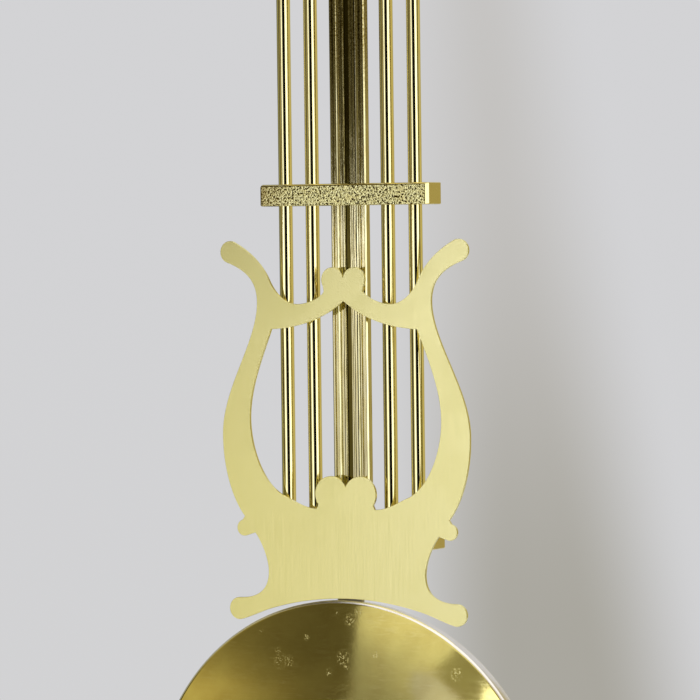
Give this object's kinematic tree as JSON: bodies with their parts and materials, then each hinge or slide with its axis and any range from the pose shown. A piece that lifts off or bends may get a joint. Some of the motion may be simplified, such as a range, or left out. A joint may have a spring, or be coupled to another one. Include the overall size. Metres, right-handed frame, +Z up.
{
  "type": "lyre clock pendulum",
  "caption": "Brass lyre pendulum for a wall clock: suspension spring, rods and reeded bar in crossbars, a pierced lyre plate, and a domed bob raised by a rating nut.",
  "frame": {"origin": "centre of the suspension pin, on the line through the suspension spring", "axes": "+Z up along the pendulum, +X to the right as seen from the front, -Y towards the viewer"},
  "size_m": [0.127, 0.0203, 0.4023],
  "materials": {
    "polished_brass": "polished",
    "brushed_brass": "brushed up and down, lacquered",
    "stippled_brass": "stippled face with smooth edges",
    "reeded_brass": "drawn, with fine lengthwise reeds",
    "spun_brass": "spun and buffed, lacquered",
    "steel": "zinc plated",
    "spring_steel": "bright rolled",
    "cast_iron": "as cast"
  },
  "bodies": {
    "suspension": {"top_block_left": "polished_brass", "top_block_right": "polished_brass", "suspension_pin": "steel", "top_rivet_front": "polished_brass", "top_rivet_rear": "polished_brass", "spring_leaf_front": "spring_steel", "spring_leaf_rear": "spring_steel"},
    "spring_foot": {"foot_block_left": "polished_brass", "foot_block_right": "polished_brass", "cross_pin": "steel", "foot_rivet_front": "polished_brass", "foot_rivet_rear": "polished_brass"},
    "pendulum": {"pendulum_hook": "polished_brass", "hook_rivet_upper": "polished_brass", "hook_rivet_lower": "polished_brass", "crossbar_top": "stippled_brass", "crossbar_middle": "stippled_brass", "crossbar_lower": "stippled_brass", "top_set_screw_outer_left": "steel", "top_set_screw_inner_left": "steel", "top_set_screw_inner_right": "steel", "top_set_screw_outer_right": "steel", "middle_set_screw_outer_left": "steel", "middle_set_screw_outer_right": "steel", "lower_set_screw_outer_left": "steel", "lower_set_screw_inner_left": "steel", "lower_set_screw_inner_right": "steel", "lower_set_screw_outer_right": "steel", "centre_bar": "reeded_brass", "rod_outer_left": "polished_brass", "rod_inner_left": "polished_brass", "rod_inner_right": "polished_brass", "rod_outer_right": "polished_brass", "lyre_plate": "brushed_brass", "lyre_stud_left": "polished_brass", "lyre_nut_left": "polished_brass", "lyre_stud_right": "polished_brass", "lyre_nut_right": "polished_brass", "lyre_post": "polished_brass", "lyre_post_screw": "steel", "pendulum_strip": "steel", "strip_screw_left": "steel", "strip_screw_right": "steel", "rating_screw": "steel", "fork_rivet": "steel"},
    "bob": {"bob_shell": "spun_brass", "bob_back_plate": "steel", "bob_weight": "cast_iron", "bob_centre_rivet": "steel", "guide_upper": "steel", "guide_lower": "steel", "guide_rivet_upper_left": "steel", "guide_rivet_upper_right": "steel", "guide_rivet_lower_left": "steel", "guide_rivet_lower_right": "steel", "friction_spring": "spring_steel"},
    "rating_nut": {"rating_nut": "polished_brass"}
  },
  "joints": [
    {"name": "pendulum_swing", "type": "hinge", "parent": "suspension", "child": "spring_foot", "pos_m": [0, 0, -0.00825], "axis": [0, 1, 0], "range_deg": [-6, 6], "stiffness_Nm_per_rad": 0.012, "deforming": ["spring_leaf_front", "spring_leaf_rear"]},
    {"name": "hook_tilt", "type": "hinge", "parent": "spring_foot", "child": "pendulum", "pos_m": [0, 0, -0.01675], "axis": [1, 0, 0], "range_deg": [-4, 4]},
    {"name": "bob_slide", "type": "slide", "parent": "pendulum", "child": "bob", "axis": [0, 0, 1], "range_m": [-0.008, 0.0002]},
    {"name": "rating_nut_spin", "type": "hinge", "parent": "bob", "child": "rating_nut", "pos_m": [0, 0.00245, -0.38357], "axis": [0, 0, 1], "range_deg": [-5765, 147]}
  ],
  "couplings": [
    {"joint": "rating_nut_spin", "follows": "bob_slide", "rad_per_m": 12566}
  ]
}
